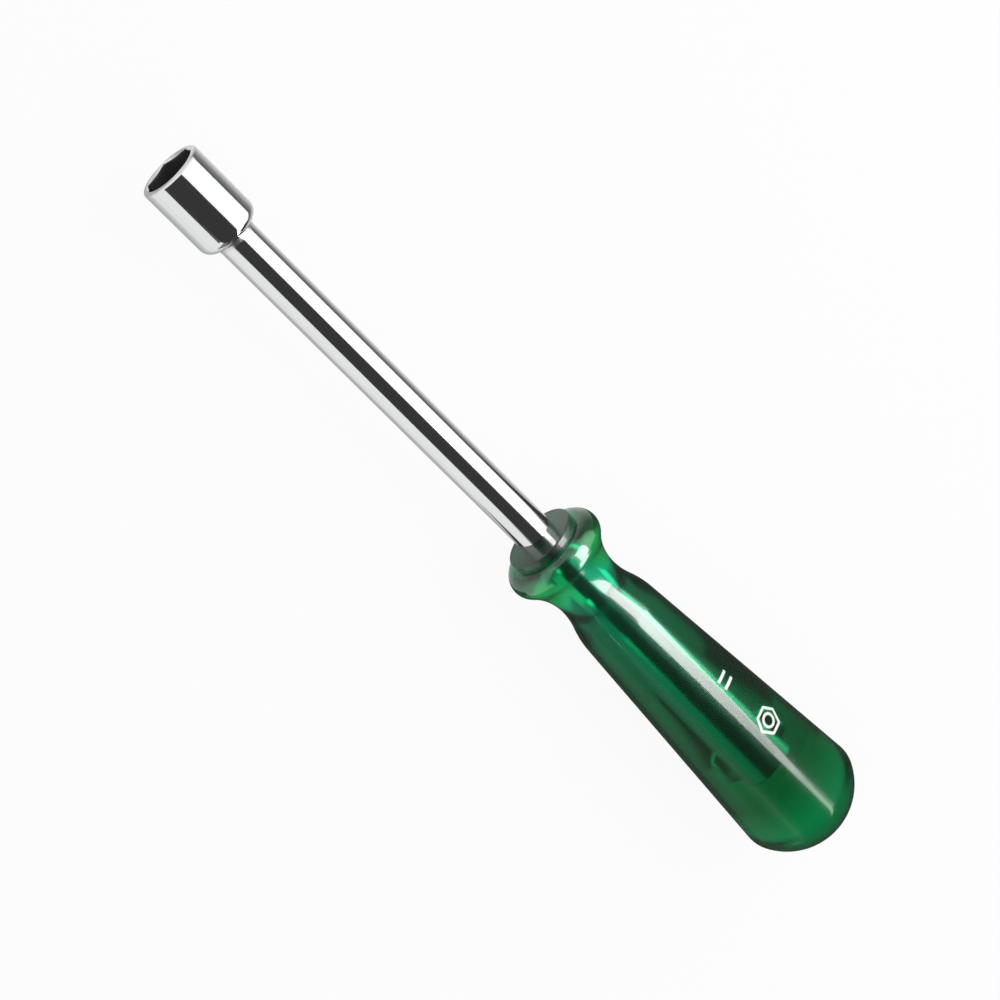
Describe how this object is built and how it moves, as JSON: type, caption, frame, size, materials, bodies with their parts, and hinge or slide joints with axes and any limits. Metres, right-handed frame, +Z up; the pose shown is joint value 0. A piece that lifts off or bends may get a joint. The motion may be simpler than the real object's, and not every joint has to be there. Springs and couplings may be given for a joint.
{
  "type": "nut driver",
  "caption": "Hand tool with a hexagon socket on a long round steel bar and a translucent green tapered handle, for turning small hexagon nuts and screws.",
  "frame": {"origin": "centre of the mouth of the socket, on the axis of the tool", "axes": "+X along the axis of the tool from the mouth to the butt, +Z up with the tool lying on its side, two flats of the hexagon facing +Y and -Y"},
  "size_m": [0.2378, 0.032, 0.032],
  "materials": {
    "chrome_plate": "polished chrome plate",
    "braze": "plated braze metal, slightly dull",
    "clear_green": "transparent green cellulose plastic, polished"
  },
  "bodies": {
    "root": {"socket": "chrome_plate", "shaft": "chrome_plate", "braze_fillet": "braze", "handle": "clear_green"}
  },
  "joints": []
}
